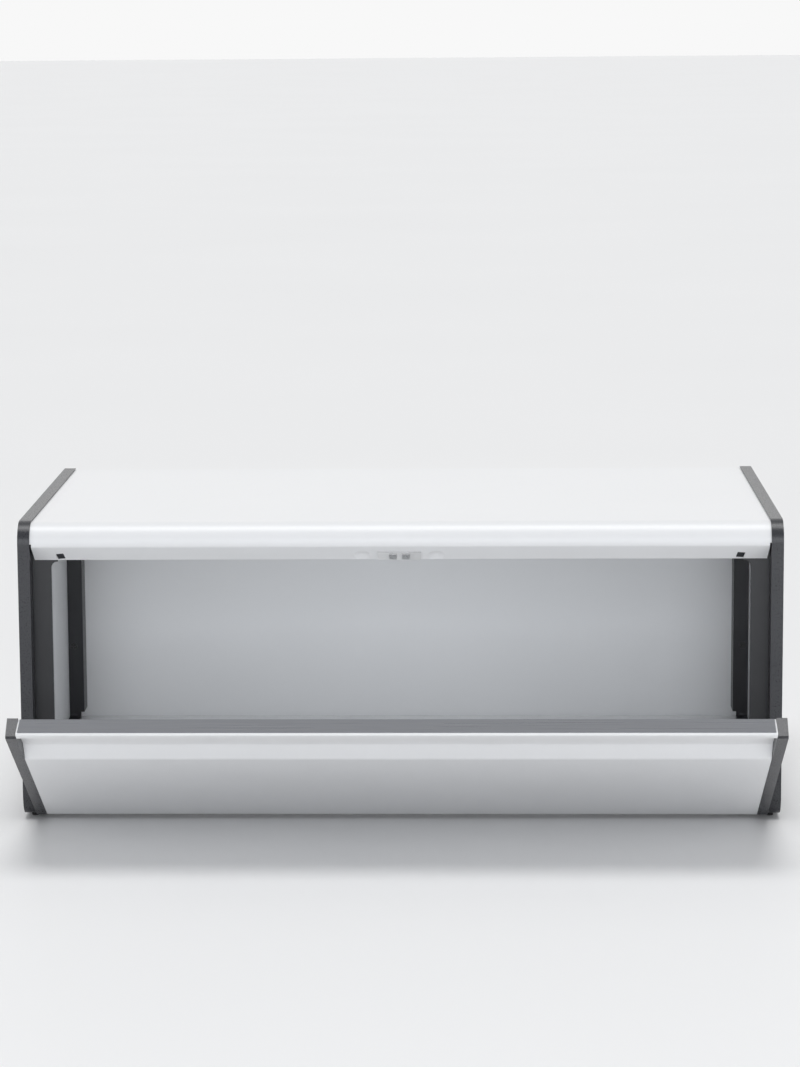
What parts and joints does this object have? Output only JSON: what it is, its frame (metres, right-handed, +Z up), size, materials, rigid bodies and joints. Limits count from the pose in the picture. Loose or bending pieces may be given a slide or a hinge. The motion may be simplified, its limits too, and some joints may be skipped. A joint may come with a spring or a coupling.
{
  "type": "bread box with drop-down front door",
  "caption": "Bent-steel bread box between moulded end frames; its front door hinges down at the foot and has a finger recess, a brushed strip on its bevelled top and a magnetic catch.",
  "frame": {"origin": "middle of the body's footprint, at the level the feet stand on; the open door is not counted", "axes": "+X to the box's right as its user faces it, +Y from the door towards the back, +Z up"},
  "size_m": [0.465, 0.3857, 0.185],
  "materials": {
    "white_painted_steel": "satin white powder coat",
    "dark_grained_plastic": "dark grey, finely grained",
    "black_plastic": "near black, matt",
    "white_plastic": "white",
    "brushed_steel": "brushed along its length",
    "zinc_plated_steel": "zinc plated",
    "blackened_steel": "black, semi-matt",
    "ferrite": "pressed ferrite",
    "rubber": "matt"
  },
  "bodies": {
    "body": {"body_shell": "white_painted_steel", "floor_pan": "white_painted_steel", "left_side_plate": "white_painted_steel", "right_side_plate": "white_painted_steel", "left_outer_frame": "dark_grained_plastic", "right_outer_frame": "dark_grained_plastic", "left_inner_frame": "black_plastic", "right_inner_frame": "black_plastic", "catch_housing": "white_plastic", "catch_magnet": "ferrite", "catch_pole_plates": "zinc_plated_steel", "left_hinge_pin": "zinc_plated_steel", "right_hinge_pin": "zinc_plated_steel", "front_left_foot": "rubber", "front_right_foot": "rubber", "rear_left_foot": "rubber", "rear_right_foot": "rubber", "frame_screws": "blackened_steel"},
    "door": {"door_panel": "white_painted_steel", "door_inner_panel": "white_painted_steel", "door_strip": "brushed_steel", "left_door_cap": "dark_grained_plastic", "right_door_cap": "dark_grained_plastic"}
  },
  "joints": [
    {"name": "door_hinge", "type": "hinge", "parent": "body", "child": "door", "pos_m": [0, -0.1201, 0.009], "axis": [1, 0, 0], "range_deg": [-60, 30]}
  ]
}
